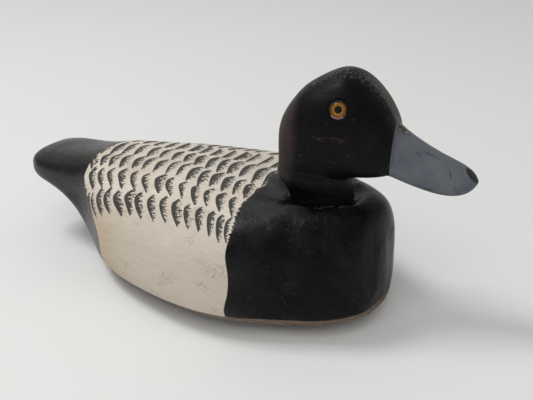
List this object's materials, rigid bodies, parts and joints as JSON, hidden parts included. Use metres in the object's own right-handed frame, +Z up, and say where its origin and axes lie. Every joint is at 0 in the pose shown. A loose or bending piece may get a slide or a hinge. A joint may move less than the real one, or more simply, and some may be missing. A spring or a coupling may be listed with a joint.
{
  "type": "duck decoy",
  "caption": "Hand-carved hollow wooden duck decoy with painted body, swivelling head, glass eyes, ballast strip and anchor-line ring.",
  "frame": {"origin": "centre of the ballast strip's flat underside, which the decoy stands on", "axes": "+X along the hull towards the breast, +Y to the duck's left, +Z up"},
  "size_m": [0.3483, 0.1632, 0.1669],
  "materials": {
    "body_paint": "worn matt paint",
    "head_paint": "worn satin black paint, grey bill",
    "bare_wood": "weathered",
    "hardwood": "turned",
    "lead": "dull cast",
    "steel": "tarnished",
    "brass": "tarnished",
    "eye_glass": "polished",
    "eye_iris": "coloured enamel",
    "eye_pupil": "black glass",
    "putty": "cracked"
  },
  "bodies": {
    "hull": {"body_block": "body_paint", "bottom_board": "bare_wood", "bottom_board_nails": "steel", "ballast_weight": "lead", "ballast_screws": "brass", "line_tie_staple": "steel"},
    "swivel_head": {"head": "head_paint", "neck_dowel": "hardwood", "neck_screw": "steel", "neck_washer": "steel", "left_eye_glass": "eye_glass", "left_eye_iris": "eye_iris", "left_eye_pupil": "eye_pupil", "left_eye_wire": "steel", "left_eye_putty": "putty", "right_eye_glass": "eye_glass", "right_eye_iris": "eye_iris", "right_eye_pupil": "eye_pupil", "right_eye_wire": "steel", "right_eye_putty": "putty"},
    "tie_ring": {"line_tie_ring": "brass"}
  },
  "joints": [
    {"name": "head_swivel", "type": "hinge", "parent": "hull", "child": "swivel_head", "pos_m": [0.0828, 0, 0.08], "axis": [0, 0, 1], "range_deg": [-107, 73]},
    {"name": "line_tie_swing", "type": "hinge", "parent": "hull", "child": "tie_ring", "pos_m": [0.0948, 0, 0.0037], "axis": [0, -1, 0], "range_deg": [-7, 173]}
  ]
}
